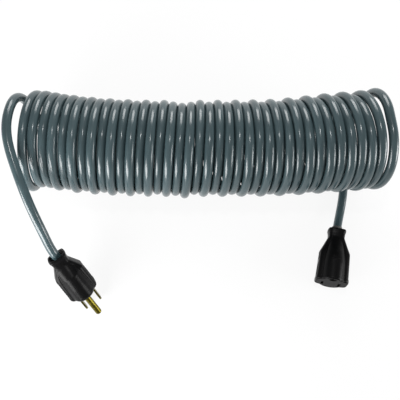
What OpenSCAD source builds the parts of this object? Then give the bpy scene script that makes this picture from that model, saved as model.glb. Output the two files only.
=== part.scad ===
// Coiled shore power cord: a moulded three-pin plug, a moulded three-hole
// connector and one self-coiling jacketed cord between them.
// Millimetres, +Z up. The coil lies on its side on z = 0, its axis along X.

/* [Cord] */
// Outside diameter of the jacket
cord_d = 6.8; // [5.6:0.1:6.9]
// Diameter of one insulated core
core_d = 2.2; // [1.6:0.1:2.3]
// Diameter of the stranded copper in a core
strand_d = 1.3; // [0.8:0.1:1.4]

/* [Coil] */
// Turns from one end to the other
coil_turns = 37.75; // [29.75:1:38.75]
// Distance from one turn to the next
coil_pitch = 6.94; // [6.9:0.02:7.14]
// Radius to the cord's centre at the middle turns
coil_r = 33.2; // [30:0.1:35]
// How much wider the left end turn has sprung open
left_spread = 1; // [0:0.1:3]
// How much wider the right end turn has sprung open
right_spread = 0.1; // [0:0.1:3]
// How far the left end bows back
left_bow = 9.7; // [0:0.1:12]
// How far the right end bows back
right_bow = 4.1; // [0:0.1:12]
// How far the top of a middle turn leans to the right
coil_lean = 2.1; // [0:0.1:4]
// How high the right end is held up by the cord that passes under it
right_lift = 7.9; // [7.6:0.1:10]

/* [Pins] */
// Centre to centre of the two flat blades
blade_spacing = 12.7; // [12:0.1:13]
// Height of the round earth pin above the line of the blades
earth_rise = 11.9; // [11.5:0.1:12.2]
// Width of a blade
blade_w = 6.35; // [5.8:0.05:6.6]
// Thickness of a blade
blade_t = 1.5; // [1.2:0.1:1.7]
// Length of a blade in front of the plug's face
blade_l = 15.8; // [15:0.1:18]
// Diameter of the earth pin
earth_d = 4.8; // [4.4:0.1:4.9]
// Length of the earth pin in front of the plug's face
earth_l = 19.2; // [18.5:0.1:21.5]
// How much thicker the earth pin is inside the moulding
earth_shank = 0.3; // [0.1:0.05:0.5]
// How far the line of the blades lies below the cord's axis
blade_drop = 2.8; // [2.6:0.1:3]

/* [Plug] */
// Length of the moulded body
plug_l = 37.6; // [36.4:0.1:41]
// Width across the grips
plug_w = 23.4; // [22.4:0.1:26]
// Length of the collar, from the neck to the rim
plug_collar_l = 6.4; // [5.8:0.1:8]
// Height of the barrel
plug_h = 30; // [27:0.1:31]
// Thickness of the grips
plug_grip_t = 16; // [14.8:0.1:17]
// Diameter of the neck behind the grips
neck_d = 12.8; // [11.6:0.1:13.6]
// Diameter of the collar's rim
collar_d = 14.6; // [13:0.1:15.4]

/* [Connector] */
// Length of the moulded body
connector_l = 43.6; // [42:0.1:48]
// Width across the grips
connector_w = 25; // [24.6:0.1:28]
// Length of the collar, from the neck to the rim
connector_collar_l = 6.8; // [6:0.1:9]
// Height of the barrel
connector_h = 27; // [26.8:0.1:29]
// Thickness of the grips
connector_grip_t = 16.6; // [16.2:0.1:18]
// Wall of the moulding round the contact carrier
rim_wall = 0.9; // [0.6:0.1:1]
// Play of a contact in its cavity, on each side
contact_play = 0.2; // [0.1:0.05:0.3]
// Thickness of the contact metal
contact_t = 0.8; // [0.5:0.05:0.9]

/* [Hidden] */
$fn = 48;

jacket_grey = [0.36, 0.42, 0.43];
moulding_black = [0.1, 0.1, 0.1];
bridge_grey = [0.3, 0.3, 0.32];
brass = [0.78, 0.64, 0.3];
copper = [0.72, 0.42, 0.26];
// Line, neutral and earth: black, white and green
core_colours = [[0.08, 0.08, 0.08], [0.9, 0.9, 0.88], [0.1, 0.45, 0.2]];

// ---- Small vector helpers ----
function unit(v) = v / norm(v);
function smooth(t) = let(u = min(1, max(0, t))) u * u * (3 - 2 * u);
// Turn a local vector by rotate(turn), then move it to at
function placed(p, turn, at) =
    let(a = turn[0], b = turn[1], c = turn[2],
        q = [p[0], p[1] * cos(a) - p[2] * sin(a), p[1] * sin(a) + p[2] * cos(a)],
        r = [q[0] * cos(b) + q[2] * sin(b), q[1], q[2] * cos(b) - q[0] * sin(b)])
    at + [r[0] * cos(c) - r[1] * sin(c), r[0] * sin(c) + r[1] * cos(c), r[2]];

// ---- Tube along a list of points ----
// One ring of a tube: sides corners round p, square to the direction d,
// the first corner towards n
function ring(p, d, n, r, sides) =
    let(u = unit(n - (n * d) * d), v = cross(d, u))
    [for (k = [0 : sides - 1]) p + r * (cos(360 * k / sides) * u + sin(360 * k / sides) * v)];
// Triangles of a closed tube with this many rings, outwards
function tube_faces(rings, sides) = concat(
    [for (i = [0 : rings - 2], k = [0 : sides - 1])
        let(a = i * sides + k, b = i * sides + (k + 1) % sides) [a, a + sides, b + sides]],
    [for (i = [0 : rings - 2], k = [0 : sides - 1])
        let(a = i * sides + k, b = i * sides + (k + 1) % sides) [a, b + sides, b]],
    [for (k = [1 : sides - 2]) [0, k, k + 1]],
    [for (k = [1 : sides - 2]) let(o = (rings - 1) * sides) [o, o + k + 1, o + k]]);
module tube(rings) {
    sides = len(rings[0]);
    polyhedron([for (r = rings) each r], tube_faces(len(rings), sides), convexity = 10);
}
// Directions along a path whose first and last directions are given
function directions(path, first, last) =
    [for (i = [0 : len(path) - 1])
        i == 0 ? first : i == len(path) - 1 ? last : unit(path[i + 1] - path[i - 1])];

// ---- The coil ----
coil_sides = 6;
rings_a_turn = 8;
coil_x = 0.6;           // middle of the coil along X
coil_y = 40.4;          // middle of the coil along Y
coil_mid_turn = 19;     // the turn that lies at coil_x
flat_share = 0.1;       // part of the cord's diameter cut flat where it lies
zigzag = 1.2;           // every second turn is wider by twice this
zigzag_phase = 216;
zigzag_drift = 1.3;     // degrees a turn
zigzag_turns = 6;       // turns from the left end over which the zigzag grows
uneven = 0.3;           // wander of the pitch along the coil
lean_gain = 1.2;        // how much more than coil_lean the right end leans
left_swing = 0.9;       // how far right the far side of the left turns stands
right_swing = -5.7;     // the same of the right turns, which lean the other way
swing_from = -0.3;      // where along the coil the swing starts to change
// Turns that stand forward of the others: [turn, how far, over how many turns]
forward_turns = [[0, 7.4, 0.68], [17, 2.4, 0.55]];
left_kick = 3.6;        // how far the left end leaves its neighbour
left_kick_turns = 0.35;
right_kick = 1.6;       // how far the right end leaves its neighbour
right_kick_turns = 0.45;
lift_from = 7;          // turns right of the middle where the lift starts
lift_to = 16;
cord_r = cord_d / 2;
// How far along the coil's half a turn lies, -1 at the left end and 1 at the right
function along(t) = (t - coil_turns / 2) / (coil_turns / 2);
function turn_r(t) =
    coil_r + (along(t) < 0 ? left_spread : right_spread) * pow(abs(along(t)), 3)
    + zigzag * smooth(t / zigzag_turns)
        * sin(180 * t + zigzag_phase + zigzag_drift * (t - coil_mid_turn));
function turn_y(t, i = 0) = i == len(forward_turns)
    ? coil_y + (along(t) < 0 ? left_bow : right_bow) * pow(abs(along(t)), 3)
    : turn_y(t, i + 1)
        - forward_turns[i][1] * exp(-pow((t - forward_turns[i][0]) / forward_turns[i][2], 2));
function turn_z(t) =
    turn_r(t) + cord_r - flat_share * cord_d
    + right_lift * smooth((t - coil_turns / 2 - lift_from) / (lift_to - lift_from));
function turn_x(t) =
    coil_x + coil_pitch * (t - coil_mid_turn) + uneven * sin(360 * (t - 21.2) / 22)
    - left_kick * pow(max(0, 1 - t / left_kick_turns), 2)
    + right_kick * pow(max(0, 1 - (coil_turns - t) / right_kick_turns), 2);
// How far the top of a turn leans to the right, and the far side swings to the right
function turn_lean(t) = coil_lean + lean_gain * along(t);
function turn_swing(t) =
    left_swing + (right_swing - left_swing) * smooth((along(t) - swing_from) / (1 - swing_from));
// Centre of the cord after t turns: far side, bottom, near side, top
function coil_point(t) =
    [turn_x(t) + turn_swing(t) * cos(360 * t) - turn_lean(t) * sin(360 * t),
        turn_y(t) + turn_r(t) * cos(360 * t), turn_z(t) - turn_r(t) * sin(360 * t)];
function coil_out(t) = [0, cos(360 * t), -sin(360 * t)];
function coil_way(t) = unit(coil_point(t + 0.01) - coil_point(t - 0.01));
coil_steps = round(coil_turns * rings_a_turn);
// The two ends run straight for one diameter
left_way = -coil_way(0);
left_end = coil_point(0) + cord_d * left_way;
right_way = coil_way(coil_turns);
right_end = coil_point(coil_turns) + cord_d * right_way;
coil_rings = concat(
    [ring(left_end, -left_way, coil_out(0), cord_r, coil_sides)],
    [for (i = [0 : coil_steps]) let(t = i / rings_a_turn)
        ring(coil_point(t), coil_way(t), coil_out(t), cord_r, coil_sides)],
    [ring(right_end, right_way, coil_out(coil_turns), cord_r, coil_sides)]);
// Least gap between the coil's rings, one turn apart and two turns apart
function ring_gap(a, b) = min([for (p = a) for (q = b) norm(p - q)]);
coil_gap = min([for (i = [1 : coil_steps + 1], j = [rings_a_turn, rings_a_turn + 1])
    if (i + j <= coil_steps + 1) ring_gap(coil_rings[i], coil_rings[i + j])]);
echo(least_gap_of_the_coil_to_itself = coil_gap);
assert(coil_gap > 0.4, "the turns of the coil touch");

module coil_cord() {
    slab = 2 * coil_pitch * coil_turns;
    color(jacket_grey)
        difference() {
            tube(coil_rings);
            translate([coil_x - slab / 2, coil_y - slab / 2, -cord_d]) cube([slab, slab, cord_d]);
        }
}

// ---- Where the plug and the connector lie ----
// Each is drawn with its face at x = 0 and its nose towards +X, the cord on the X axis
plug_at = [-89.15, -67.2, 13.76];
plug_turn = [-3.8, 38.5, -55.8];
connector_at = [102, -61.6, 15.4];
connector_turn = [5.3, -10.1, -101.8];
module at_plug() translate(plug_at) rotate(plug_turn) children();
module at_connector() translate(connector_at) rotate(connector_turn) children();

// ---- The free stretches of the cord ----
tail_sides = 12;
jacket_in_plug = 9.6;        // how far the jacket runs into the moulding
jacket_in_connector = 9.6;
plug_jacket_end = -plug_l + jacket_in_plug;
connector_jacket_end = -connector_l + jacket_in_connector;
plug_route = [
    [-135.2, 76.1, 50.8], [-135.5, 73.5, 57.5], [-135.7, 69.4, 63.4], [-135.9, 63.9, 68],
    [-136.1, 57.1, 71.2], [-136.2, 48.6, 73], [-135.5, 40.5, 73.4], [-133.5, 31, 72.8],
    [-130.3, 20.5, 71], [-126.5, 9.8, 68.8], [-122.6, -1, 65.6], [-119.1, -10.3, 61.6],
    [-115.8, -18.7, 56.9], [-112.3, -27.5, 51]];
connector_route = [
    [134.1, 58.4, 75.2], [133.4, 65, 72.4], [132.6, 70.7, 68], [131.8, 75.1, 62.3],
    [131, 78.1, 55.7], [130.3, 79.5, 48.4], [129.4, 79.7, 38], [128, 77.7, 26.9],
    [126.4, 72.6, 16.4], [124.7, 64, 8.4], [123, 53.2, 4.1], [121.7, 42, 3.5],
    [120.9, 31, 3.5], [119.7, 19, 3.5], [117.7, 6.5, 3.5], [114.7, -6, 4]];
module tail(end, way, route, l, jacket_end, turn, at) {
    nose = placed([1, 0, 0], turn, [0, 0, 0]);
    path = concat([end], route, [placed([-l, 0, 0], turn, at), placed([jacket_end, 0, 0], turn, at)]);
    ways = directions(path, way, nose);
    last = len(path) - 1;
    color(jacket_grey)
        tube([for (i = [0 : last])
            ring(path[i], i == last - 1 ? nose : ways[i], [1, 0, 0], cord_r, tail_sides)]);
}
module plug_tail()
    tail(left_end, left_way, plug_route, plug_l, plug_jacket_end, plug_turn, plug_at);
module connector_tail()
    tail(right_end, right_way, connector_route, connector_l, connector_jacket_end,
        connector_turn, connector_at);

// ---- The moulded bodies ----
// A section is a tall barrel with a flat grip on each side:
// [x, barrel half width, barrel half height, grip half width, grip half thickness]
section_sides = 40;
barrel_power = 2.2;
grip_power = 5;
blend_power = 16;
function squircle(a, b, p, t) = pow(pow(abs(cos(t)) / a, p) + pow(abs(sin(t)) / b, p), -1 / p);
function section_r(s, t) =
    pow(pow(squircle(s[1], s[2], barrel_power, t), blend_power)
        + pow(squircle(s[3], s[4], grip_power, t), blend_power), 1 / blend_power);
function section(s, inset) =
    let(n = [s[0], s[1] - inset, s[2] - inset, s[3] - inset, s[4] - inset])
    [for (k = [0 : section_sides - 1]) let(t = 360 * k / section_sides, r = section_r(n, t))
        [r * cos(t), r * sin(t)]];
function round_section(x, d) = [x, d / 2.1, d / 2.1, d / 2.1, d / 2.1];
module moulding(stations)
    tube([for (s = stations) [for (p = section(s, 0)) [s[0], p[0], p[1]]]]);
// A straight bar with the outline of section s, drawn in by inset, from x0 to x1
module bar(s, inset, x0, x1)
    translate([x0, 0, 0]) rotate([90, 0, 90]) linear_extrude(x1 - x0) polygon(section(s, inset));
module rod(x0, x1, r) translate([x0, 0, 0]) rotate([0, 90, 0]) cylinder(h = x1 - x0, r = r);

cup_depth = 2.4;         // the collar is hollowed round the cord
cup_wall = 1.2;
rim_edge = 0.8;          // rounding of the collar's rim
// The bore for the jacket and the cup in the collar of a body of length l
module cord_entry(l, jacket_end) {
    rod(-l - 1, jacket_end, cord_r);
    translate([-l, 0, 0]) rotate([0, 90, 0])
        cylinder(h = cup_depth, r1 = collar_d / 2 - cup_wall, r2 = cord_r + cup_wall);
    translate([-l - 1, 0, 0]) rotate([0, 90, 0]) cylinder(h = 1, r = collar_d / 2 - cup_wall);
}
// The last four stations of a body, from its neck to its rim
function collar(l, collar_l) = [
    round_section(-l + collar_l, neck_d),
    round_section(-l + collar_l / 2, neck_d + (collar_d - neck_d) / 4),
    round_section(-l + rim_edge, collar_d),
    round_section(-l, collar_d - rim_edge)];

// Places of the three cores and contacts across the face: line, neutral, earth
blade_y = blade_spacing / 2;
earth_z = earth_rise - blade_drop;
function pole(side, k) =
    [[side * blade_y, -blade_drop], [-side * blade_y, -blade_drop], [0, earth_z]][k];
core_ring_r = (core_d + 0.14) / sqrt(3);
function core_at(side, k) =
    [[side * cos(30), -0.5], [-side * cos(30), -0.5], [0, 1]][k] * core_ring_r;

wire_sides = 8;
wire_steps = 8;
crimp_wall = 0.9;
crimp_r = strand_d / 2 + crimp_wall;
strand_grip = 4;         // length of the strands inside a crimp
strand_bare = 1;         // bare length between the insulation and the crimp
// One core from the jacket's end to its crimp, an S between two straight ends
module wire(side, k, x0, x1) {
    a = core_at(side, k);
    b = pole(side, k);
    path = [for (i = [0 : wire_steps]) let(u = i / wire_steps, s = smooth((u - 0.1) / 0.8))
        [x0 + (x1 - x0) * u, a[0] + (b[0] - a[0]) * s, a[1] + (b[1] - a[1]) * s]];
    ways = directions(path, [1, 0, 0], [1, 0, 0]);
    tube([for (i = [0 : wire_steps]) ring(path[i], ways[i], [0, 0, 1], core_d / 2, wire_sides)]);
}
// Stripped strands of core k: from the insulation at x into the crimp
module strands(side, k, x)
    translate([0, pole(side, k)[0], pole(side, k)[1]])
        rod(x, x + strand_bare + strand_grip, strand_d / 2);
// Crimp barrel from x, its mouth, to the body of the contact
module crimp(side, k, x, l)
    translate([0, pole(side, k)[0], pole(side, k)[1]])
        difference() {
            rod(x, x + l, crimp_r);
            rod(x - 1, x + strand_grip, strand_d / 2);
        }

// ---- The plug ----
plug_side = 1;               // line blade towards +Y
plug_face_wall = 3;          // moulding in front of the bridge
bridge_l = 8;
bridge_wall = 1.2;           // moulding round the bridge
bridge_back = -plug_face_wall - bridge_l;
crimp_l = 5;
plug_crimp_x = bridge_back - crimp_l;
plug_wire_end = plug_crimp_x - strand_bare;
plug_nose = [-2, plug_w / 2 - 2, plug_h / 2, plug_w / 2, plug_grip_t / 2];
plug_stations = concat([
    [0, plug_nose[1] - 1, plug_nose[2] - 1, plug_nose[3] - 1, plug_nose[4] - 1],
    plug_nose,
    [-11, plug_nose[1] - 0.3, plug_nose[2] - 0.5, plug_nose[3], plug_nose[4]],
    [-21.3, plug_nose[1] - 1, plug_nose[2] - 2, plug_nose[3] - 0.2, plug_nose[4] - 0.6],
    [-25.8, (plug_nose[1] + neck_d / 2) / 2, plug_nose[2] - 5, (plug_nose[3] + neck_d / 2) / 2,
        plug_nose[4] - 1.6]],
    collar(plug_l, plug_collar_l));

blade_tip = 2.2;             // length of the tapered tip
tip_share = 0.55;            // part of the width left at the tip's end
earth_tip = 1.6;
module blade(k) {
    p = pole(plug_side, k);
    color(brass) {
        union() {
            translate([0, p[0] + blade_t / 2, p[1]]) rotate([90, 0, 0]) linear_extrude(blade_t)
                polygon([
                    [bridge_back, -blade_w / 2], [blade_l - blade_tip, -blade_w / 2],
                    [blade_l, -blade_w / 2 * tip_share], [blade_l, blade_w / 2 * tip_share],
                    [blade_l - blade_tip, blade_w / 2], [bridge_back, blade_w / 2]]);
            crimp(plug_side, k, plug_crimp_x, crimp_l);
        }
    }
}
module plug_line_blade() at_plug() blade(0);
module plug_neutral_blade() at_plug() blade(1);
module earth_pin() {
    r = earth_d / 2;
    translate([0, 0, earth_z]) rotate([0, 90, 0])
        rotate_extrude() polygon([
            [0, bridge_back], [r + earth_shank, bridge_back], [r + earth_shank, 0],
            [r, 0], [r, earth_l - earth_tip],
            [0.8 * r, earth_l - 0.4 * earth_tip], [0.4 * r, earth_l], [0, earth_l]]);
    crimp(plug_side, 2, plug_crimp_x, crimp_l);
}
module plug_ground_pin() at_plug() color(brass) union() earth_pin();
// The pins' shanks where they pass through the bridge and the face
module shanks() {
    for (k = [0, 1]) {
        p = pole(plug_side, k);
        translate([bridge_back - 1, p[0] - blade_t / 2, p[1] - blade_w / 2])
            cube([-bridge_back + 2, blade_t, blade_w]);
    }
    translate([0, 0, earth_z]) rod(bridge_back - 1, 1, earth_d / 2 + earth_shank);
}
module bridge_block() bar(plug_nose, bridge_wall, bridge_back, -plug_face_wall);
module plug_bridge() at_plug() color(bridge_grey) difference() {
    bridge_block();
    shanks();
}
module crimp_room(side, x, l)
    for (k = [0 : 2])
        translate([0, pole(side, k)[0], pole(side, k)[1]]) {
            rod(x, x + l, crimp_r);
            rod(x - strand_bare, x, strand_d / 2);
        }
module plug_overmould() at_plug() color(moulding_black) difference() {
    moulding([for (i = [len(plug_stations) - 1 : -1 : 0]) plug_stations[i]]);
    bridge_block();
    intersection() {
        shanks();
        rod(-plug_face_wall, 1, plug_w);
    }
    crimp_room(plug_side, plug_crimp_x, crimp_l);
    for (k = [0 : 2]) wire(plug_side, k, plug_jacket_end, plug_wire_end);
    cord_entry(plug_l, plug_jacket_end);
}
module plug_wire(k) at_plug() color(core_colours[k])
    wire(plug_side, k, plug_jacket_end, plug_wire_end);
module plug_line_wire() plug_wire(0);
module plug_neutral_wire() plug_wire(1);
module plug_ground_wire() plug_wire(2);
module plug_strands(k) at_plug() color(copper) strands(plug_side, k, plug_wire_end);
module plug_line_strands() plug_strands(0);
module plug_neutral_strands() plug_strands(1);
module plug_ground_strands() plug_strands(2);

// ---- The connector ----
connector_side = -1;         // line slot towards -Y, to meet the plug face to face
carrier_l = 17;
face_lip = 1.6;              // front wall of the carrier
slot_play = 0.25;            // play of a blade in its slot, on each side
neutral_extra = 0.9;         // the neutral slot is taller, for a polarised blade
grip_room = 0.1;             // room between a blade and the contact's leaves
contact_front = -2;
contact_back = -14;
contact_root = 1.6;          // solid metal at the back of a contact
connector_crimp_x = contact_back - crimp_l;
connector_wire_end = connector_crimp_x - strand_bare;
slot_t = blade_t + 2 * slot_play;
slot_h = blade_w + 2 * slot_play + 0.15;
contact_w = blade_t + 2 * grip_room + 2 * contact_t;
contact_h = blade_w + 0.85;
earth_hole_r = earth_d / 2 + 0.45;
earth_grip_r = earth_d / 2 + 0.05;
earth_contact_r = earth_grip_r + contact_t - 0.2;
connector_nose = [-0.8, connector_w / 2 - 3, connector_h / 2, connector_w / 2, connector_grip_t / 2];
connector_stations = concat([
    [0, connector_nose[1] - 0.5, connector_nose[2] - 0.5, connector_nose[3] - 0.5,
        connector_nose[4] - 0.5],
    connector_nose,
    [-14, connector_nose[1] - 0.2, connector_nose[2] - 0.4, connector_nose[3] - 0.4,
        connector_nose[4] - 0.2],
    [-19, connector_nose[1] - 0.6, connector_nose[2] - 1.2, connector_nose[3] - 0.5,
        connector_nose[4] - 0.4],
    [-23.5, connector_nose[1] - 1.2, connector_nose[2] - 2.6, connector_nose[3] - 0.7,
        connector_nose[4] - 0.8],
    [-29, (connector_nose[1] + neck_d / 2) / 2 - 0.4, connector_nose[2] - 5,
        (connector_nose[3] + neck_d / 2) / 2, connector_nose[4] - 2]],
    collar(connector_l, connector_collar_l));

// Room for a contact in the carrier: the slot in the face, then the cavity behind it
module blade_cavity(k) {
    p = pole(connector_side, k);
    h = slot_h + (k == 1 ? neutral_extra : 0);
    room_w = contact_w + 2 * contact_play;
    room_h = contact_h + 2 * contact_play;
    translate([-face_lip - 1, p[0] - slot_t / 2, p[1] - h / 2]) cube([face_lip + 2, slot_t, h]);
    translate([-carrier_l - 1, p[0] - room_w / 2, p[1] - room_h / 2])
        cube([carrier_l + 1 - face_lip, room_w, room_h]);
}
module connector_carrier() at_connector() color(bridge_grey) difference() {
    bar(connector_nose, rim_wall, -carrier_l, 0);
    blade_cavity(0);
    blade_cavity(1);
    translate([0, 0, earth_z]) rod(-carrier_l - 1, 1, earth_hole_r);
    translate([0, 0, earth_z]) rod(-carrier_l - 1, -face_lip, earth_contact_r + contact_play / 2);
}
module blade_contact(k) at_connector() color(brass) {
    p = pole(connector_side, k);
    gap = blade_t + 2 * grip_room;
    union() {
        difference() {
            translate([contact_back, p[0] - contact_w / 2, p[1] - contact_h / 2])
                cube([contact_front - contact_back, contact_w, contact_h]);
            translate([contact_back + contact_root, p[0] - gap / 2, p[1] - contact_h])
                cube([contact_front - contact_back, gap, 2 * contact_h]);
        }
        crimp(connector_side, k, connector_crimp_x, crimp_l);
    }
}
module connector_line_contact() blade_contact(0);
module connector_neutral_contact() blade_contact(1);
module connector_ground_contact() at_connector() color(brass) union() {
    translate([0, 0, earth_z]) difference() {
        rod(contact_back, contact_front, earth_contact_r);
        rod(contact_back + contact_root, contact_front + 1, earth_grip_r);
    }
    crimp(connector_side, 2, connector_crimp_x, crimp_l);
}
module connector_overmould() at_connector() color(moulding_black) difference() {
    moulding([for (i = [len(connector_stations) - 1 : -1 : 0]) connector_stations[i]]);
    bar(connector_nose, rim_wall, -carrier_l, 1);
    crimp_room(connector_side, connector_crimp_x, crimp_l);
    for (k = [0 : 2]) wire(connector_side, k, connector_jacket_end, connector_wire_end);
    cord_entry(connector_l, connector_jacket_end);
}
sleeve_wall = 0.5;
sleeve_l = 5.4;
module connector_sleeve() at_connector() color([0.28, 0.29, 0.3])
    translate([-connector_l + cup_depth - sleeve_l, 0, 0]) difference() {
        rod(0, sleeve_l, cord_r + sleeve_wall);
        rod(-1, sleeve_l + 1, cord_r);
    }
module connector_wire(k) at_connector() color(core_colours[k])
    wire(connector_side, k, connector_jacket_end, connector_wire_end);
module connector_line_wire() connector_wire(0);
module connector_neutral_wire() connector_wire(1);
module connector_ground_wire() connector_wire(2);
module connector_strands(k) at_connector() color(copper)
    strands(connector_side, k, connector_wire_end);
module connector_line_strands() connector_strands(0);
module connector_neutral_strands() connector_strands(1);
module connector_ground_strands() connector_strands(2);

coil_cord();
plug_tail();
connector_tail();
plug_overmould();
plug_bridge();
plug_line_blade();
plug_neutral_blade();
plug_ground_pin();
plug_line_wire();
plug_neutral_wire();
plug_ground_wire();
plug_line_strands();
plug_neutral_strands();
plug_ground_strands();
connector_overmould();
connector_carrier();
connector_sleeve();
connector_line_contact();
connector_neutral_contact();
connector_ground_contact();
connector_line_wire();
connector_neutral_wire();
connector_ground_wire();
connector_line_strands();
connector_neutral_strands();
connector_ground_strands();
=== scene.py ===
import bpy
import math
import numpy as np
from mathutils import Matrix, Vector


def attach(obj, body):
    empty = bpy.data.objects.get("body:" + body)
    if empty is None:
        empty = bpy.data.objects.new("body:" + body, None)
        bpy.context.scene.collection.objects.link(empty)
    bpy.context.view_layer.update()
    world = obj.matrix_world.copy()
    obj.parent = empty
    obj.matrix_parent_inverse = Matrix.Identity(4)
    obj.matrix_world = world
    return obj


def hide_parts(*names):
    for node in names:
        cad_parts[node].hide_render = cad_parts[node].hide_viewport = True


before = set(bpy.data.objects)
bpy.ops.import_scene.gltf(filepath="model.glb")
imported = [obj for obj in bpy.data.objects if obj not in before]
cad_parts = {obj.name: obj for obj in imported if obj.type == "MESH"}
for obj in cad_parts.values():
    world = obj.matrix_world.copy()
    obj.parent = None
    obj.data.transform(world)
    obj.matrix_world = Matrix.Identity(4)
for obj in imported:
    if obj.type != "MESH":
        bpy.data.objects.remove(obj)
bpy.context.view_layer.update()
scene = bpy.context.scene
scene.view_settings.view_transform = "Standard"
mm = 0.001

# The camera looks almost straight down, a little from the front
cameraSettings = {
    "target": (0.8, 7.4, 0.0),      # mm, on the floor
    "elevation": 78.0,              # degrees above the horizon
    "distance": 430.0,              # mm
    "focalOverFrame": 1.296,        # focal length as a share of the frame's width
    "sensorWidth": 36.0,
    "clip": (0.01, 20.0),           # m
}


def makeCamera(s):
    data = bpy.data.cameras.new("studioCamera")
    data.sensor_width = s["sensorWidth"]
    data.lens = s["sensorWidth"] * s["focalOverFrame"]
    data.clip_start, data.clip_end = s["clip"]
    camera = bpy.data.objects.new("studioCamera", data)
    tilt = math.radians(s["elevation"])
    away = Vector((0, -math.cos(tilt), math.sin(tilt)))
    camera.location = (Vector(s["target"]) + away * s["distance"]) * mm
    camera.rotation_mode = "QUATERNION"
    camera.rotation_quaternion = (-away).to_track_quat("-Z", "Y")
    scene.collection.objects.link(camera)
    scene.camera = camera


makeCamera(cameraSettings)
print("camera set")


def linearColour(hexCode):
    # sRGB hex to linear: straight below 0.04045, a 2.4 power above
    part = [int(hexCode[i:i + 2], 16) / 255 for i in (1, 3, 5)]
    return tuple(c / 12.92 if c <= 0.04045 else ((c + 0.055) / 1.055) ** 2.4 for c in part) + (1.0,)


def addNode(tree, kind, links=None, **settings):
    node = tree.nodes.new(kind)
    for name, value in settings.items():
        setattr(node, name, value)
    for name, value in (links or {}).items():
        if isinstance(value, bpy.types.NodeSocket):
            tree.links.new(value, node.inputs[name])
        else:
            node.inputs[name].default_value = value
    return node


def unit(v):
    return v / np.linalg.norm(v, axis=-1, keepdims=True)


def smooth(u):
    # 0 to 1 with a flat start and end: three squares less two cubes
    u = np.clip(u, 0, 1)
    return u * u * (3 - 2 * u)


def turnMatrix(turn):
    # roll about x, then tilt about y, then heading about z
    a, b, c = np.radians(turn)
    rx = np.array([[1, 0, 0], [0, np.cos(a), -np.sin(a)], [0, np.sin(a), np.cos(a)]])
    ry = np.array([[np.cos(b), 0, np.sin(b)], [0, 1, 0], [-np.sin(b), 0, np.cos(b)]])
    rz = np.array([[np.cos(c), -np.sin(c), 0], [np.sin(c), np.cos(c), 0], [0, 0, 1]])
    return rz @ ry @ rx


def placed(points, pose):
    return np.asarray(points, float) @ turnMatrix(pose["turn"]).T + np.array(pose["at"], float)


def gridPiece(name, grid, uvScale=(1, 1), marks=None):
    # grid: rows x columns x 3 points in mm; columns close on themselves, and both
    # ends are closed by a fan round the middle of their row
    rows, cols = grid.shape[:2]
    points = np.concatenate([grid.reshape(-1, 3), [grid[0].mean(0)], [grid[-1].mean(0)]]) * mm
    i, j = np.meshgrid(np.arange(rows - 1), np.arange(cols), indexing="ij")
    nextJ = (j + 1) % cols
    quads = np.stack([i * cols + j, i * cols + nextJ, (i + 1) * cols + nextJ, (i + 1) * cols + j], -1)
    k = np.arange(cols)
    first, last = rows * cols, rows * cols + 1
    startFan = np.stack([np.full(cols, first), (k + 1) % cols, k], -1)
    endFan = np.stack([np.full(cols, last), (rows - 1) * cols + k, (rows - 1) * cols + (k + 1) % cols], -1)
    faces = quads.reshape(-1, 4).tolist() + startFan.tolist() + endFan.tolist()
    mesh = bpy.data.meshes.new(name)
    mesh.from_pydata(points.tolist(), [], faces)
    across = np.stack([j, j + 1, j + 1, j], -1).reshape(-1, 4) / cols
    along = np.stack([i, i, i + 1, i + 1], -1).reshape(-1, 4) / (rows - 1)
    fans = np.tile([[0, 0.5], [0, 0], [0, 1]], (2 * cols, 1))
    uv = np.concatenate([np.stack([along * uvScale[0], across * uvScale[1]], -1).reshape(-1, 2), fans])
    layer = mesh.uv_layers.new(name="surface")
    layer.data.foreach_set("uv", uv.astype(np.float32).ravel())
    for mark, values in (marks or {}).items():
        attribute = mesh.attributes.new(mark, "FLOAT", "POINT")
        full = np.concatenate([values.ravel(), [0, 0]])
        attribute.data.foreach_set("value", full.astype(np.float32))
    mesh.polygons.foreach_set("use_smooth", np.ones(len(mesh.polygons), bool))
    mesh.update()
    piece = bpy.data.objects.new(name, mesh)
    scene.collection.objects.link(piece)
    return piece


# Where the plug and the connector lie: mm, and degrees of roll, tilt and heading.
# The place is the middle of the face, and the body runs back from it by its length
plugPose = {"at": (-89.15, -67.2, 13.76), "turn": (-3.8, 38.5, -55.8), "length": 37.6}
connectorPose = {"at": (102, -61.6, 15.4), "turn": (5.3, -10.1, -101.8), "length": 43.6}

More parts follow.
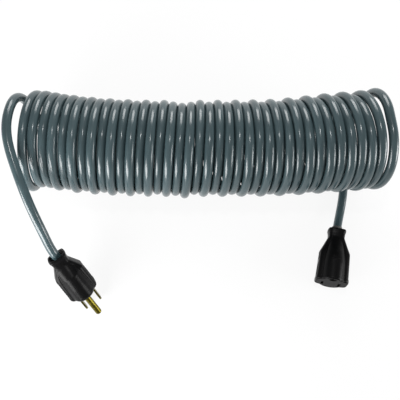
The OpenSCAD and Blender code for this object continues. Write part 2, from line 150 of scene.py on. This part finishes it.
# The cord is one jacket from the plug, through the coil, to the connector
cordSettings = {
    "diameter": 6.8,
    "turns": 37.75, "pitch": 6.94, "radius": 33.2,          # radius to the cord's centre
    "middle": (0.6, 40.4), "middleTurn": 19,                # x and y of the coil, and the turn there
    "spread": (1.0, 0.1), "bow": (9.7, 4.1),                # left and right end: wider, further back
    "zigzag": 1.2, "zigzagTurns": 6,                        # mm, and the turns it takes to set in
    "zigzagPhase": 216, "zigzagDrift": 1.3,                 # degrees, and degrees a turn
    "uneven": 0.3, "unevenFrom": 21.2, "unevenTurns": 22,   # slow wave in the pitch
    "lean": 2.1, "leanGain": 1.2,                           # in the middle, and more at the right
    "swing": (0.9, -5.7), "swingFrom": -0.3,                # left and right, and where it sets in
    "forwardTurns": [(0, 7.4, 0.68), (17, 2.4, 0.55)],      # turn, mm forward, width in turns
    "lift": 7.9, "liftFrom": 7, "liftTo": 16,               # turns past the middle
    "flat": 0.68,                                           # pressed into the floor it lies on
    "leftKick": 3.6, "leftKickTurns": 0.35,                 # the end turns spring open
    "rightKick": 1.6, "rightKickTurns": 0.45,
    "inBody": 9.6, "ringsInBody": 4,                        # how far the jacket runs into a body
    "plugRoute": [
        (-135.2, 76.1, 50.8), (-135.5, 73.5, 57.5), (-135.7, 69.4, 63.4), (-135.9, 63.9, 68),
        (-136.1, 57.1, 71.2), (-136.2, 48.6, 73), (-135.5, 40.5, 73.4), (-133.5, 31, 72.8),
        (-130.3, 20.5, 71), (-126.5, 9.8, 68.8), (-122.6, -1, 65.6), (-119.1, -10.3, 61.6),
        (-115.8, -18.7, 56.9), (-112.3, -27.5, 51)],
    "connectorRoute": [
        (134.1, 58.4, 75.2), (133.4, 65, 72.4), (132.6, 70.7, 68), (131.8, 75.1, 62.3),
        (131, 78.1, 55.7), (130.3, 79.5, 48.4), (129.4, 79.7, 38), (128, 77.7, 26.9),
        (126.4, 72.6, 16.4), (124.7, 64, 8.4), (123, 53.2, 4.1), (121.7, 42, 3.5),
        (120.9, 31, 3.5), (119.7, 19, 3.5), (117.7, 6.5, 3.5), (114.7, -6, 4)],
    "ringsPerTurn": 60, "tailStep": 2.4, "sides": 24,
    "uvUnit": 10,                                           # mm of cord to one unit of its UV map
}


def coilPoint(t, s):
    # a helix about x. The ends spread and bow back, every second turn is wider, the tops
    # lean to the right, the far sides swing left towards the right end, which is lifted
    along = (t - s["turns"] / 2) / (s["turns"] / 2)
    left = along < 0
    phase = np.radians(s["zigzagPhase"] + s["zigzagDrift"] * (t - s["middleTurn"]))
    radius = s["radius"] + np.where(left, *s["spread"]) * np.abs(along) ** 3 \
        + s["zigzag"] * smooth(t / s["zigzagTurns"]) * np.sin(np.pi * t + phase)
    y = s["middle"][1] + np.where(left, *s["bow"]) * np.abs(along) ** 3
    for turn, forward, width in s["forwardTurns"]:
        y = y - forward * np.exp(-((t - turn) / width) ** 2)
    lift = s["lift"] * smooth((t - s["turns"] / 2 - s["liftFrom"]) / (s["liftTo"] - s["liftFrom"]))
    z = radius + s["diameter"] / 2 - s["flat"] + lift
    x = s["middle"][0] + s["pitch"] * (t - s["middleTurn"]) \
        + s["uneven"] * np.sin(2 * np.pi * (t - s["unevenFrom"]) / s["unevenTurns"]) \
        - s["leftKick"] * np.maximum(0, 1 - t / s["leftKickTurns"]) ** 2 \
        + s["rightKick"] * np.maximum(0, 1 - (s["turns"] - t) / s["rightKickTurns"]) ** 2
    lean = s["lean"] + s["leanGain"] * along
    swing = s["swing"][0] + (s["swing"][1] - s["swing"][0]) \
        * smooth((along - s["swingFrom"]) / (1 - s["swingFrom"]))
    c, d = np.cos(2 * np.pi * t), np.sin(2 * np.pi * t)
    return np.stack([x + swing * c - lean * d, y + radius * c, z - radius * d], -1)


def coilWay(t, s):
    # direction of the coil at turn t, from two points just beside it
    near = 0.01
    return unit(coilPoint(np.array(t + near), s) - coilPoint(np.array(t - near), s))


def splinePath(points, firstWay, lastWay, step):
    # clamped cubic spline through the points, by chord length, with points step apart
    p = np.asarray(points, float)
    h = np.linalg.norm(np.diff(p, axis=0), axis=1)
    n = len(p)
    matrix, right = np.zeros((n, n)), np.zeros((n, 3))
    slope = np.diff(p, axis=0) / h[:, None]
    matrix[0, :2] = 2 * h[0], h[0]
    matrix[-1, -2:] = h[-1], 2 * h[-1]
    right[0] = 6 * (slope[0] - firstWay)
    right[-1] = 6 * (lastWay - slope[-1])
    inner = np.arange(1, n - 1)
    matrix[inner, inner - 1], matrix[inner, inner + 1] = h[:-1], h[1:]
    matrix[inner, inner] = 2 * (h[:-1] + h[1:])
    right[inner] = 6 * np.diff(slope, axis=0)
    bend = np.linalg.solve(matrix, right)
    knots = np.concatenate([[0], np.cumsum(h)])
    at = np.linspace(0, knots[-1], int(round(knots[-1] / step)) + 1)
    i = np.clip(np.searchsorted(knots, at, side="right") - 1, 0, n - 2)
    a, b, w = (knots[i + 1] - at)[:, None], (at - knots[i])[:, None], h[i][:, None]
    return (bend[i] * a ** 3 + bend[i + 1] * b ** 3) / (6 * w) \
        + (p[i] / w - bend[i] * w / 6) * a + (p[i + 1] / w - bend[i + 1] * w / 6) * b


def tailPath(pose, route, end, out, s):
    # straight on from the coil's end for one diameter, along the route, and into the body
    nose = turnMatrix(pose["turn"])[:, 0]
    back = -pose["length"]
    entry, jacketEnd = placed([[back, 0, 0], [back + s["inBody"], 0, 0]], pose)
    start = end + s["diameter"] * out
    return np.concatenate([
        [end + s["diameter"] * out / 2],
        splinePath([start, *route, entry], out, nose, s["tailStep"]),
        np.linspace(entry, jacketEnd, s["ringsInBody"] + 1)[1:]])


def cordPath(s):
    t = np.linspace(0, s["turns"], int(round(s["turns"] * s["ringsPerTurn"])) + 1)
    coil = coilPoint(t, s)
    toPlug = tailPath(plugPose, s["plugRoute"], coil[0], -coilWay(0.0, s), s)
    toConnector = tailPath(connectorPose, s["connectorRoute"], coil[-1], coilWay(s["turns"], s), s)
    return np.concatenate([toPlug[::-1], coil, toConnector])


def tubeGrid(path, radius, sides):
    # the section is carried along the path without twist: each ring's side vector is
    # the last one less its part along the new direction
    ways = unit(np.gradient(path, axis=0))
    anySide = [0.3, 0.2, 1.0]
    side = np.zeros_like(path)
    side[0] = unit(np.cross(ways[0], anySide))
    for i in range(1, len(path)):
        moved = side[i - 1] - (side[i - 1] @ ways[i]) * ways[i]
        side[i] = moved / np.linalg.norm(moved)
    angle = np.linspace(0, 2 * np.pi, sides, endpoint=False)
    up = np.cross(ways, side)
    return path[:, None] + radius * (np.cos(angle)[None, :, None] * side[:, None]
                                     + np.sin(angle)[None, :, None] * up[:, None])


def makeCord(s):
    path = cordPath(s)
    grid = tubeGrid(path, s["diameter"] / 2, s["sides"])
    grid[..., 2] = np.maximum(grid[..., 2], 0)      # flattened where it lies
    length = np.linalg.norm(np.diff(path, axis=0), axis=1).sum()
    piece = gridPiece("jacketedCord", grid, uvScale=(length / s["uvUnit"], 1))
    return piece, path, length


cord, cordLine, cordLength = makeCord(cordSettings)
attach(cord, "root")
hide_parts("coil_cord", "plug_tail", "connector_tail")
print("cord made, %.2f m" % (cordLength * mm))


# The two moulded bodies. Their section is a tall barrel with a flat grip on each side.
# An inset is [x, then how much less than full: barrel half width and half height, grip
# half width and half thickness]. The shoulder has both widths halfway to the neck
plugSettings = {
    "length": plugPose["length"], "width": 23.4, "height": 30.0, "gripThickness": 16.0,
    "barrelNarrower": 2,
    "insets": [(0, 1, 1, 1, 1), (-2, 0, 0, 0, 0), (-11, 0.3, 0.5, 0, 0), (-21.3, 1, 2, 0.2, 0.6)],
    "shoulder": (-25.8, 0, 5, 1.6),
    "neck": 12.8, "collar": 14.6, "collarLength": 6.4,
    "soften": 0.5, "faceFillet": 0.7,
    "groove": 0.35,                 # mm, depth of the line between barrel and grip
    "panel": (-20.0, -3.5), "panelEdge": 1.6, "panelDepth": 0.45,
    "ribHeight": 0.35,
}
connectorSettings = {
    "length": connectorPose["length"], "width": 25.0, "height": 27.0, "gripThickness": 16.6,
    "barrelNarrower": 3,
    "insets": [(0, 0.5, 0.5, 0.5, 0.5), (-0.8, 0, 0, 0, 0), (-14, 0.2, 0.4, 0.4, 0.2),
               (-19, 0.6, 1.2, 0.5, 0.4), (-23.5, 1.2, 2.6, 0.7, 0.8)],
    "shoulder": (-29, 0.4, 5, 2),
    "neck": 12.8, "collar": 14.6, "collarLength": 6.8,
    "soften": 0.6, "faceFillet": 0.3,
    "groove": 0.4,
    "panel": (-24.0, -3.0), "panelEdge": 1.8, "panelDepth": 0.4,
    "ribHeight": 0.0,               # its panels are plain
    "rimWall": 0.9, "pocket": 17.0, "pocketGap": 0.12,
    "pocketMouth": [(-0.4, 0.0), (-0.1, 0.04), (0.0, 0.12)],   # x, and how much wider
}
# What both bodies share, with sizes in mm
bodySettings = {
    "columns": 192, "rowStep": 0.35,
    "barrelPower": 2.2, "gripPower": 5, "blendPower": 16,
    "roundSwell": 1.05,             # how much the blend widens a section that is all round
    "grooveWidth": 0.55, "neckFade": (2, 4), "faceFade": (0.6, 1.5),   # start, and length
    "panelRise": 1.2, "panelSideRise": 1.0, "panelBlend": 0.8, "ribPitch": 2.4,
    "faceRings": (0.05, 0.3, 0.6, 0.85, 0.97), "floorRings": (0.1, 0.5, 0.9),
    # the cup in the collar that the cord goes into
    "cupDepth": 2.4, "cupWall": 1.2, "cordRadius": 3.4, "cordGap": 0.05, "boreDepth": 4,
    "rimEdge": 0.8, "rimRound": 0.25, "cupRound": 0.2, "cornerAt": 0.9, "cornerWidth": 0.15,
}


def fullSizes(s):
    return np.array([s["width"] / 2 - s["barrelNarrower"], s["height"] / 2,
                     s["width"] / 2, s["gripThickness"] / 2])


def roundRadius(diameter):
    return diameter / 2 / bodySettings["roundSwell"]


def bodyStations(s):
    # rows of x and the four sizes, from the face to the collar's end
    full, neck, collar = fullSizes(s), s["neck"], s["collar"]
    rows = [[x, *(full - inset)] for x, *inset in s["insets"]]
    x, narrower, lower, thinner = s["shoulder"]
    rows.append([x, (full[0] + neck / 2) / 2 - narrower, full[1] - lower,
                 (full[2] + neck / 2) / 2, full[3] - thinner])
    edge = bodySettings["rimEdge"]
    for place, diameter in ((s["collarLength"], neck), (s["collarLength"] / 2, neck + (collar - neck) / 4),
                            (edge, collar), (0, collar - edge)):
        rows.append([place - s["length"]] + [roundRadius(diameter)] * 4)
    return np.array(rows)


def bodySizes(s, x):
    # the stations joined by straight lines, each size the mean over a short stretch, which
    # rounds the corners; less a quarter circle at the face
    table = bodyStations(s)[::-1]
    near = x[:, None] + np.linspace(-s["soften"], s["soften"], 9)
    sizes = np.stack([np.interp(near, table[:, 0], table[:, k]).mean(1) for k in range(1, 5)], -1)
    fillet = s["faceFillet"]
    into = np.clip(fillet + x, 0, None)
    return sizes - (fillet - np.sqrt(np.clip(fillet ** 2 - into ** 2, 0, None)))[:, None]


def squircle(a, b, power, angle):
    # distance to |y/a|^power + |z/b|^power = 1 in the direction of the angle
    return ((np.abs(np.cos(angle)) / a) ** power + (np.abs(np.sin(angle)) / b) ** power) ** (-1 / power)


def sectionRadius(sizes, angle):
    # the larger of the barrel and the grips, with a narrow blend where they meet
    barrel = squircle(sizes[..., 0], sizes[..., 1], bodySettings["barrelPower"], angle)
    grip = squircle(sizes[..., 2], sizes[..., 3], bodySettings["gripPower"], angle)
    blend = bodySettings["blendPower"]
    return (barrel ** blend + grip ** blend) ** (1 / blend), barrel, grip


def ringsAt(x, radius, angle):
    # rows of points in the body's own frame from x and the radius at each angle
    x = np.broadcast_to(np.asarray(x, float).reshape(-1, 1), radius.shape)
    return np.stack([x, radius * np.cos(angle), radius * np.sin(angle)], -1)


def bodySkin(s, x, angle):
    # the section's radius at each x and angle, less a fine groove where barrel and grip meet,
    # less a sunk panel with ribs across it on each grip
    b = bodySettings
    sizes = bodySizes(s, x)
    radius, barrel, grip = sectionRadius(sizes[:, None], angle)
    fade = smooth((x + s["length"] - s["collarLength"] - b["neckFade"][0]) / b["neckFade"][1]) \
        * smooth((-x - b["faceFade"][0]) / b["faceFade"][1])
    radius -= s["groove"] * np.exp(-((barrel - grip) / b["grooveWidth"]) ** 2) * fade[:, None]
    back, front = s["panel"]
    height = np.abs(radius * np.sin(angle))
    inLength = smooth((x - back) / b["panelRise"]) * smooth((front - x) / b["panelRise"])
    inHeight = smooth((sizes[:, None, 3] - s["panelEdge"] - height) / b["panelSideRise"])
    panel = smooth((grip - barrel) / b["panelBlend"]) * inHeight * inLength[:, None]
    ribs = 0.5 + 0.5 * np.cos(2 * np.pi * (x - front) / b["ribPitch"])
    return radius - panel * (s["panelDepth"] - s["ribHeight"] * ribs[:, None]), panel


def flatFace(skin, angle):
    # rings of the skin's own outline, from the middle of the face outwards
    return np.concatenate([ringsAt([0], skin[:1] * share, angle) for share in bodySettings["faceRings"]])


def pocketFace(s, angle):
    # the pocket that the contact carrier stands in: its floor, its wall and its mouth
    outline = fullSizes(s) - (s["rimWall"] - s["pocketGap"])
    inner = sectionRadius(outline[None, None], angle)[0]
    wall = [(-s["pocket"], 0), (-s["pocket"] / 2, 0), *s["pocketMouth"]]
    return np.concatenate(
        [ringsAt([-s["pocket"]], inner * share, angle) for share in bodySettings["floorRings"]]
        + [ringsAt([x], inner + wider, angle) for x, wider in wall])


def cordCup(s, angle):
    # round the collar's rim, down the cup's wall, across its floor and on beside the cord
    b = bodySettings
    mouth = s["collar"] / 2 - b["cupWall"]
    floor = b["cordRadius"] + b["cupWall"]
    bore = b["cordRadius"] + b["cordGap"]
    inward = [(-b["rimRound"], roundRadius(s["collar"] - b["rimEdge"]) - b["rimRound"]),
              (-b["rimRound"], mouth + b["cupRound"]), (0, mouth),
              (b["cupDepth"] * b["cornerAt"], floor + b["cornerWidth"]),
              (b["cupDepth"], floor - b["cupRound"]), (b["cupDepth"], bore + b["cupRound"]),
              (b["cupDepth"] + b["cupRound"], bore), (b["cupDepth"] + b["boreDepth"], bore)]
    ones = np.ones_like(angle)
    return np.concatenate([ringsAt([depth - s["length"]], r * ones, angle) for depth, r in inward])


def mouldedBody(name, s, pose, hollow):
    angle = np.linspace(0, 2 * np.pi, bodySettings["columns"], endpoint=False)[None]
    x = -np.linspace(0, s["length"], int(s["length"] / bodySettings["rowStep"]) + 1)
    skin, panel = bodySkin(s, x, angle)
    face = pocketFace(s, angle) if hollow else flatFace(skin, angle)
    cup = cordCup(s, angle)
    grid = np.concatenate([face, ringsAt(x, skin, angle), cup])
    grip = np.pad(panel, ((len(face), len(cup)), (0, 0)))
    # columns run the other way round, so that the faces look outwards
    piece = gridPiece(name, placed(grid, pose)[:, ::-1], marks={"grip": grip[:, ::-1]})
    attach(piece, "root")
    return piece


plugBody = mouldedBody("plugMoulding", plugSettings, plugPose, False)
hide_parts("plug_overmould")
connectorBody = mouldedBody("connectorMoulding", connectorSettings, connectorPose, True)
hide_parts("connector_overmould")
print("moulded bodies made")


def newMaterial(name):
    material = bpy.data.materials.new(name)
    material.use_nodes = True
    tree = material.node_tree
    tree.nodes.clear()
    return material, tree


def finishMaterial(tree, links):
    shader = addNode(tree, "ShaderNodeBsdfPrincipled", links)
    addNode(tree, "ShaderNodeOutputMaterial", {"Surface": shader.outputs[0]})


# Sizes of patterns are in mm, and a bump is its strength and its height in mm
jacketFinish = {
    "dark": "#37474b", "light": "#405155", "toneSpan": (0.3, 0.7),
    "wavesPerMm": 0.045, "wavesAround": 2.5, "waveDetail": 1.5,     # a wave is 22 mm by 8.5 mm
    "roughness": (0.18, 0.26), "bump": (0.1, 0.6), "ior": 1.53,
}


def pvcJacketExtruded(s):
    # extruded vinyl: a glossy skin with sharp streaks of light, which faint long waves
    # from the die make a little uneven
    material, tree = newMaterial("pvcJacketExtruded")
    place = addNode(tree, "ShaderNodeTexCoord")
    stretch = (s["wavesPerMm"] * cordSettings["uvUnit"], s["wavesAround"], 1.0)
    uv = addNode(tree, "ShaderNodeMapping", {"Vector": place.outputs["UV"], "Scale": stretch})
    waves = addNode(tree, "ShaderNodeTexNoise",
                    {"Vector": uv.outputs[0], "Scale": 1.0, "Detail": s["waveDetail"]})
    tone = addNode(tree, "ShaderNodeValToRGB", {"Fac": waves.outputs["Fac"]})
    for stop, at, shade in zip(tone.color_ramp.elements, s["toneSpan"], (s["dark"], s["light"])):
        stop.position = at
        stop.color = linearColour(shade)
    gloss = addNode(tree, "ShaderNodeMapRange", {"Value": waves.outputs["Fac"],
                                                 "To Min": s["roughness"][0], "To Max": s["roughness"][1]})
    bump = addNode(tree, "ShaderNodeBump", {"Height": waves.outputs["Fac"],
                                            "Strength": s["bump"][0], "Distance": s["bump"][1] * mm})
    finishMaterial(tree, {"Base Color": tone.outputs[0], "Roughness": gloss.outputs[0],
                          "Normal": bump.outputs[0], "IOR": s["ior"]})
    return material


mouldingFinish = {
    "dark": "#090909", "light": "#0e0e0f", "cloud": 7, "cloudDetail": 3.0,
    "grain": 0.35, "grainDetail": 2.0,          # coarser than the mould's, so that it shows
    "roughness": (0.34, 0.6),                   # the bare skin, and the grips' panels
    "bump": (0.3, 0.06), "specular": 0.1,
}


def pvcMouldedSatin(s):
    # injection-moulded soft vinyl: a black satin that keeps soft broad lights, with a fine
    # even grain and duller panels where the fingers hold it
    material, tree = newMaterial("pvcMouldedSatin")
    place = addNode(tree, "ShaderNodeTexCoord")
    grain = addNode(tree, "ShaderNodeTexNoise", {"Vector": place.outputs["Object"],
                                                 "Scale": 1 / (s["grain"] * mm), "Detail": s["grainDetail"]})
    cloud = addNode(tree, "ShaderNodeTexNoise", {"Vector": place.outputs["Object"],
                                                 "Scale": 1 / (s["cloud"] * mm), "Detail": s["cloudDetail"]})
    grip = addNode(tree, "ShaderNodeAttribute", attribute_name="grip")
    tone = addNode(tree, "ShaderNodeMix", {"Factor": cloud.outputs["Fac"], "A": linearColour(s["dark"]),
                                           "B": linearColour(s["light"])}, data_type="RGBA")
    gloss = addNode(tree, "ShaderNodeMapRange", {"Value": grip.outputs["Fac"],
                                                 "To Min": s["roughness"][0], "To Max": s["roughness"][1]})
    bump = addNode(tree, "ShaderNodeBump", {"Height": grain.outputs["Fac"],
                                            "Strength": s["bump"][0], "Distance": s["bump"][1] * mm})
    finishMaterial(tree, {"Base Color": tone.outputs["Result"], "Roughness": gloss.outputs[0],
                          "Normal": bump.outputs[0], "Specular IOR Level": s["specular"]})
    return material


# name: dark and light tone, grain in mm, roughness, specular level
plasticFinish = {
    "pvcCoreLine": ("#141414", "#1c1c1c", 0.4, 0.4, 0.5),
    "pvcCoreNeutral": ("#deded8", "#ececea", 0.4, 0.4, 0.5),
    "pvcCoreGround": ("#1f6b34", "#2a7c3f", 0.4, 0.4, 0.5),
    "nylonBridgeMoulded": ("#3c3d40", "#46474a", 0.5, 0.5, 0.5),
    "nylonInsertMoulded": ("#141415", "#19191a", 0.35, 0.6, 0.15),
    "vinylSleeveMatt": ("#4b4b49", "#555553", 0.4, 0.6, 0.5),
}
plasticSurface = {"cloud": 5, "detail": 2.0, "bump": (0.25, 0.05), "ior": 1.5}


def mouldedPlastic(name, dark, light, grainSize, roughness, specular):
    # moulded or extruded small part: the tool's grain dulls it, and its tone is a little
    # cloudy; the grain is coarser than the real one, so that it shows
    s = plasticSurface
    material, tree = newMaterial(name)
    place = addNode(tree, "ShaderNodeTexCoord")
    grain = addNode(tree, "ShaderNodeTexNoise", {"Vector": place.outputs["Object"],
                                                 "Scale": 1 / (grainSize * mm), "Detail": s["detail"]})
    cloud = addNode(tree, "ShaderNodeTexNoise", {"Vector": place.outputs["Object"],
                                                 "Scale": 1 / (s["cloud"] * mm), "Detail": s["detail"]})
    tone = addNode(tree, "ShaderNodeMix", {"Factor": cloud.outputs["Fac"], "A": linearColour(dark),
                                           "B": linearColour(light)}, data_type="RGBA")
    bump = addNode(tree, "ShaderNodeBump", {"Height": grain.outputs["Fac"],
                                            "Strength": s["bump"][0], "Distance": s["bump"][1] * mm})
    finishMaterial(tree, {"Base Color": tone.outputs["Result"], "Roughness": roughness,
                          "Normal": bump.outputs[0], "IOR": s["ior"], "Specular IOR Level": specular})
    return material


# name: dark and light tone, roughness where it is cleanest
brassFinish = {
    "brassDrawnPin": ("#554c15", "#7a712e", 0.2),
    "brassStampedContact": ("#b08d45", "#cbaa5c", 0.3),
}
brassSurface = {"marks": 0.5, "tarnish": 4, "detail": 3.0, "dulled": 0.15, "bump": (0.15, 0.04)}


def brassWorked(name, dark, light, roughness):
    # drawn or stamped brass: a warm metal with clear reflections, which the tool's small
    # marks break up and patches of faint tarnish dull
    s = brassSurface
    material, tree = newMaterial(name)
    place = addNode(tree, "ShaderNodeTexCoord")
    marks = addNode(tree, "ShaderNodeTexNoise", {"Vector": place.outputs["Object"],
                                                 "Scale": 1 / (s["marks"] * mm), "Detail": s["detail"]})
    tarnish = addNode(tree, "ShaderNodeTexNoise", {"Vector": place.outputs["Object"],
                                                   "Scale": 1 / (s["tarnish"] * mm), "Detail": s["detail"]})
    tone = addNode(tree, "ShaderNodeMix", {"Factor": tarnish.outputs["Fac"], "A": linearColour(dark),
                                           "B": linearColour(light)}, data_type="RGBA")
    gloss = addNode(tree, "ShaderNodeMapRange", {"Value": tarnish.outputs["Fac"], "To Min": roughness,
                                                 "To Max": roughness + s["dulled"]})
    bump = addNode(tree, "ShaderNodeBump", {"Height": marks.outputs["Fac"],
                                            "Strength": s["bump"][0], "Distance": s["bump"][1] * mm})
    finishMaterial(tree, {"Base Color": tone.outputs["Result"], "Roughness": gloss.outputs[0],
                          "Normal": bump.outputs[0], "Metallic": 1.0})
    return material


# bright is the copper's own tone; dark is painted shade at the wires' edges and in the gaps between them
copperFinish = {"bright": "#c77b4c", "dark": "#8a4a2a", "wire": 0.25, "roughness": 0.35, "bump": (0.5, 0.1)}


def copperStranded(s):
    # bunched bare copper wires: a red metal broken up into small rounds, one to a wire's thickness, bright
    # at the middle; painted shade darkens each round towards its edge and in the gaps between them
    material, tree = newMaterial("copperStranded")
    place = addNode(tree, "ShaderNodeTexCoord")
    strands = addNode(tree, "ShaderNodeTexVoronoi", {"Vector": place.outputs["Object"],
                                                     "Scale": 1 / (s["wire"] * mm)})
    # painted shade: the copper darkens with the distance from a wire's middle
    tone = addNode(tree, "ShaderNodeMix", {"Factor": strands.outputs["Distance"],
                                           "A": linearColour(s["bright"]), "B": linearColour(s["dark"])},
                   data_type="RGBA")
    bump = addNode(tree, "ShaderNodeBump", {"Height": strands.outputs["Distance"],
                                            "Strength": s["bump"][0], "Distance": s["bump"][1] * mm})
    finishMaterial(tree, {"Base Color": tone.outputs["Result"], "Roughness": s["roughness"],
                          "Normal": bump.outputs[0], "Metallic": 1.0})
    return material


jacket = pvcJacketExtruded(jacketFinish)
satin = pvcMouldedSatin(mouldingFinish)
brass = {name: brassWorked(name, *look) for name, look in brassFinish.items()}
copper = copperStranded(copperFinish)
plastic = {name: mouldedPlastic(name, *look) for name, look in plasticFinish.items()}


def materialOf(node):
    if "wire" in node:
        return plastic["pvcCore" + node.split("_")[1].capitalize()]
    if "strands" in node:
        return copper
    if "contact" in node:
        return brass["brassStampedContact"]
    moulded = {"plug_bridge": "nylonBridgeMoulded", "connector_carrier": "nylonInsertMoulded",
               "connector_sleeve": "vinylSleeveMatt"}
    return plastic[moulded[node]] if node in moulded else brass["brassDrawnPin"]


cord.data.materials.append(jacket)
plugBody.data.materials.append(satin)
connectorBody.data.materials.append(satin)
for nodeName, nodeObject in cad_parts.items():
    if not nodeObject.hide_render:
        nodeObject.data.materials.clear()
        nodeObject.data.materials.append(materialOf(nodeName))
print("materials set")

# The floor and the lamps
studioSettings = {
    "floorSize": 6.0, "floorDrop": 0.0002,          # m
    "floorWhite": 0.88,                             # the rest of the floor is lit, with the shadow
    "paperLighting": "#a0a0a0", "paperSeen": "#f6f6f6",   # as it lights the cord, and to the camera
    "wallStrength": 0.34, "ceilingStrength": 0.32,
    "wallTop": (0.05, 0.45),                        # sine of the height where the walls fade out
    # name, place in mm, aimed at, size in mm, power in W
    "lamps": [
        ("leftSoftbox", (-235, -180, 110), (-60, 30, 50), (250, 135), 1.4),
        ("rightSoftbox", (600, -130, 150), (60, 30, 50), (300, 260), 2.5),
        ("backSoftbox", (60, 860, 410), (0, 40, 40), (560, 540), 7.0),
        ("bulb", (0, 125, 640), (0, 40, 40), (50, 50), 0.75),
    ],
}


def paperRollMatt(s):
    # matt white paper: it shows white to the camera and in reflections, and its own light
    # keeps the shadow of what lies on it
    material, tree = newMaterial("paperRollMatt")
    ray = addNode(tree, "ShaderNodeLightPath")
    direct = addNode(tree, "ShaderNodeMath",
                     {0: ray.outputs["Is Camera Ray"], 1: ray.outputs["Is Glossy Ray"]}, operation="MAXIMUM")
    seen = addNode(tree, "ShaderNodeMath", {0: direct.outputs[0], 1: ray.outputs["Is Transmission Ray"]},
                   operation="MAXIMUM")
    share = addNode(tree, "ShaderNodeMath", {0: seen.outputs[0], 1: s["floorWhite"]}, operation="MULTIPLY")
    tone = addNode(tree, "ShaderNodeMapRange",
                   {"Value": seen.outputs[0], "To Min": linearColour(s["paperLighting"])[0],
                    "To Max": linearColour(s["paperSeen"])[0]})
    lit = addNode(tree, "ShaderNodeBsdfDiffuse", {"Color": tone.outputs[0]})
    white = addNode(tree, "ShaderNodeEmission", {"Color": linearColour("#ffffff"), "Strength": 1.0})
    both = addNode(tree, "ShaderNodeMixShader",
                   {0: share.outputs[0], 1: lit.outputs[0], 2: white.outputs[0]})
    addNode(tree, "ShaderNodeOutputMaterial", {"Surface": both.outputs[0]})
    return material


def makeFloor(s):
    half, z = s["floorSize"] / 2, -s["floorDrop"]
    mesh = bpy.data.meshes.new("studioFloor")
    mesh.from_pydata([(-half, -half, z), (half, -half, z), (half, half, z), (-half, half, z)],
                     [], [(0, 1, 2, 3)])
    floor = bpy.data.objects.new("studioFloor", mesh)
    scene.collection.objects.link(floor)
    mesh.materials.append(paperRollMatt(s))


def makeRoom(s):
    # soft even light from all round, a little stronger from the walls than from the ceiling
    world = bpy.data.worlds.new("studioWorld")
    scene.world = world
    world.use_nodes = True
    tree = world.node_tree
    tree.nodes.clear()
    place = addNode(tree, "ShaderNodeTexCoord")
    way = addNode(tree, "ShaderNodeSeparateXYZ", {"Vector": place.outputs["Generated"]})
    strength = addNode(tree, "ShaderNodeMapRange",
                       {"Value": way.outputs["Z"], "From Min": s["wallTop"][0], "From Max": s["wallTop"][1],
                        "To Min": s["wallStrength"], "To Max": s["ceilingStrength"]},
                       interpolation_type="SMOOTHSTEP")
    light = addNode(tree, "ShaderNodeBackground", {"Color": linearColour("#ffffff"),
                                                   "Strength": strength.outputs[0]})
    addNode(tree, "ShaderNodeOutputWorld", {"Surface": light.outputs[0]})


def makeLamps(s):
    for name, place, target, size, power in s["lamps"]:
        data = bpy.data.lights.new(name, "AREA")
        data.shape = "RECTANGLE"
        data.size, data.size_y = size[0] * mm, size[1] * mm
        data.energy = power
        lamp = bpy.data.objects.new(name, data)
        lamp.location = Vector(place) * mm
        lamp.rotation_mode = "QUATERNION"
        lamp.rotation_quaternion = (Vector(target) - Vector(place)).to_track_quat("-Z", "Y")
        scene.collection.objects.link(lamp)


makeFloor(studioSettings)
makeRoom(studioSettings)
makeLamps(studioSettings)
print("floor and lamps set")
